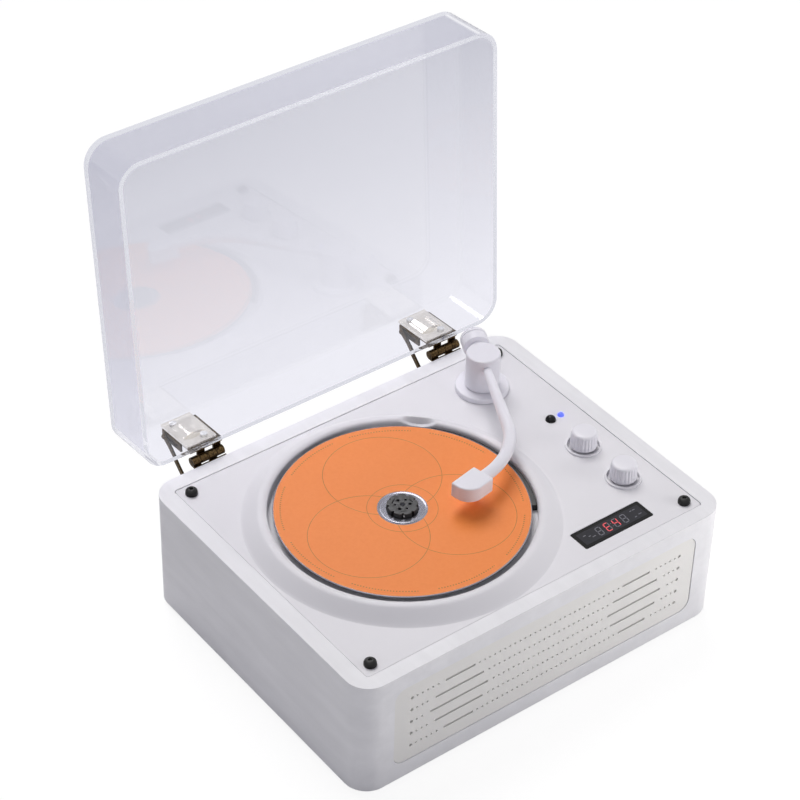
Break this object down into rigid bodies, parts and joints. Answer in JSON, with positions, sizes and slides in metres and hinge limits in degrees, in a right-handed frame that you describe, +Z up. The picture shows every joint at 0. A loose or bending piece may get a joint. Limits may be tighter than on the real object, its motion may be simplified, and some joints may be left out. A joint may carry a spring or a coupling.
{
  "type": "compact disc player",
  "caption": "tabletop compact disc player styled as a record deck: painted wooden box cabinet, raised disc well, dummy tonearm, two knobs and a hinged clear lid with stay arms",
  "frame": {"origin": "on the floor, below the middle of the width and of the depth that the object takes with its lid open", "axes": "+X to the right seen from the front, +Y to the back, +Z up; the grille faces -Y"},
  "size_m": [0.212, 0.211, 0.2355],
  "materials": {
    "painted_cabinet": "satin",
    "deck_plastic": "matte",
    "white_plastic": "satin",
    "grille_plastic": "matte",
    "black_plastic": "matte",
    "black_gloss": "gloss",
    "black_rubber": "matte",
    "wood_block": "raw",
    "clear_acrylic": "clear",
    "clear_pad": "clear",
    "bronzed_steel": "dark bronze",
    "steel": "brushed",
    "screw_steel": "plated",
    "circuit_board": "lacquered",
    "battery_wrap": "shrink wrap",
    "dust_cloth": "woven",
    "speaker_paper": "matte",
    "magnet": "dull",
    "disc_print": "printed",
    "blue_lens": "clear blue",
    "lens_glass": "coated",
    "mech_plastic": "matte"
  },
  "bodies": {
    "cabinet": {"cabinet_shell": "painted_cabinet", "base_plate": "black_plastic", "base_screws": "screw_steel", "rubber_feet": "black_rubber", "corner_blocks": "wood_block", "deck_panel": "deck_plastic", "well_collar": "deck_plastic", "deck_screws": "screw_steel", "screw_plugs": "black_rubber", "well_liner": "black_plastic", "front_grille": "grille_plastic", "grille_cloth": "dust_cloth", "speaker_frames": "steel", "speaker_cones": "speaker_paper", "speaker_magnets": "magnet", "display_window": "black_gloss", "display_module": "black_plastic", "remote_sensor": "black_gloss", "status_lamp": "blue_lens", "control_board": "circuit_board", "volume_pot": "steel", "select_encoder": "steel", "main_board": "circuit_board", "battery_pack": "battery_wrap", "audio_jack": "black_plastic", "power_socket": "steel", "rear_port_plate": "white_plastic", "mech_chassis": "steel", "chassis_dampers": "black_rubber", "chassis_screws": "screw_steel", "spindle_motor": "steel", "guide_rods": "screw_steel", "sled_motor": "steel", "tonearm_base": "white_plastic", "hinge_cabinet_leaves": "bronzed_steel", "hinge_pins": "bronzed_steel", "cabinet_leaf_screws": "bronzed_steel"},
    "lid": {"lid_shell": "clear_acrylic", "hinge_lid_leaves": "bronzed_steel", "hinge_pads": "clear_pad", "lid_leaf_screws": "screw_steel"},
    "left_stay": {"stay_arm_left": "bronzed_steel"},
    "right_stay": {"stay_arm_right": "bronzed_steel"},
    "tonearm": {"tonearm_post": "white_plastic", "tonearm_tube": "white_plastic", "headshell": "white_plastic", "counterweight": "white_plastic", "tonearm_shaft": "screw_steel"},
    "volume": {"volume_knob": "white_plastic", "volume_shaft": "steel"},
    "plunger": {"select_plunger": "mech_plastic"},
    "select": {"select_knob": "white_plastic", "select_shaft": "steel"},
    "spindle": {"spindle_hub": "black_plastic", "spindle_shaft": "screw_steel"},
    "disc": {"compact_disc": "disc_print"},
    "sled": {"pickup_sled": "mech_plastic", "pickup_lens": "lens_glass"},
    "screw": {"lead_screw": "screw_steel"}
  },
  "joints": [
    {"name": "lid_hinge", "type": "hinge", "parent": "cabinet", "child": "lid", "pos_m": [0, 0.06564, 0.067], "axis": [1, 0, 0], "range_deg": [0, 94]},
    {"name": "left_stay_pivot", "type": "hinge", "parent": "cabinet", "child": "left_stay", "pos_m": [-0.0823, 0.06645, 0.053], "axis": [1, 0, 0], "range_deg": [0, 60]},
    {"name": "right_stay_pivot", "type": "hinge", "parent": "cabinet", "child": "right_stay", "pos_m": [0.0597, 0.06645, 0.053], "axis": [1, 0, 0], "range_deg": [0, 60]},
    {"name": "tonearm_swing", "type": "hinge", "parent": "cabinet", "child": "tonearm", "pos_m": [0.0685, 0.0313, 0.0758], "axis": [0, 0, 1], "range_deg": [-8, 30]},
    {"name": "volume_turn", "type": "hinge", "parent": "cabinet", "child": "volume", "pos_m": [0.08, -0.03231, 0.0708], "axis": [0, 0, 1], "range_deg": [-150, 150]},
    {"name": "select_press", "type": "slide", "parent": "cabinet", "child": "plunger", "axis": [0, 0, -1], "range_m": [0, 0.0005], "stiffness_N_per_m": 1500, "springref_m": -0.0005},
    {"name": "select_turn", "type": "hinge", "parent": "plunger", "child": "select", "pos_m": [0.08, -0.06121, 0.0708], "axis": [0, 0, 1], "continuous": true},
    {"name": "spindle_turn", "type": "hinge", "parent": "cabinet", "child": "spindle", "pos_m": [-0.0214, -0.0222, 0.0658], "axis": [0, 0, 1], "continuous": true},
    {"name": "disc_lift", "type": "slide", "parent": "spindle", "child": "disc", "axis": [0, 0, 1], "range_m": [0, 0.005]},
    {"name": "sled_slide", "type": "slide", "parent": "cabinet", "child": "sled", "axis": [0, 1, 0], "range_m": [0, 0.03]},
    {"name": "lead_screw_turn", "type": "hinge", "parent": "cabinet", "child": "screw", "pos_m": [0.0041, 0.0083, 0.0538], "axis": [0, 1, 0], "continuous": true}
  ],
  "couplings": [
    {"joint": "left_stay_pivot", "follows": "lid_hinge", "ratio": 0.637},
    {"joint": "right_stay_pivot", "follows": "lid_hinge", "ratio": 0.637},
    {"joint": "lead_screw_turn", "follows": "sled_slide", "rad_per_m": 2094.4}
  ]
}
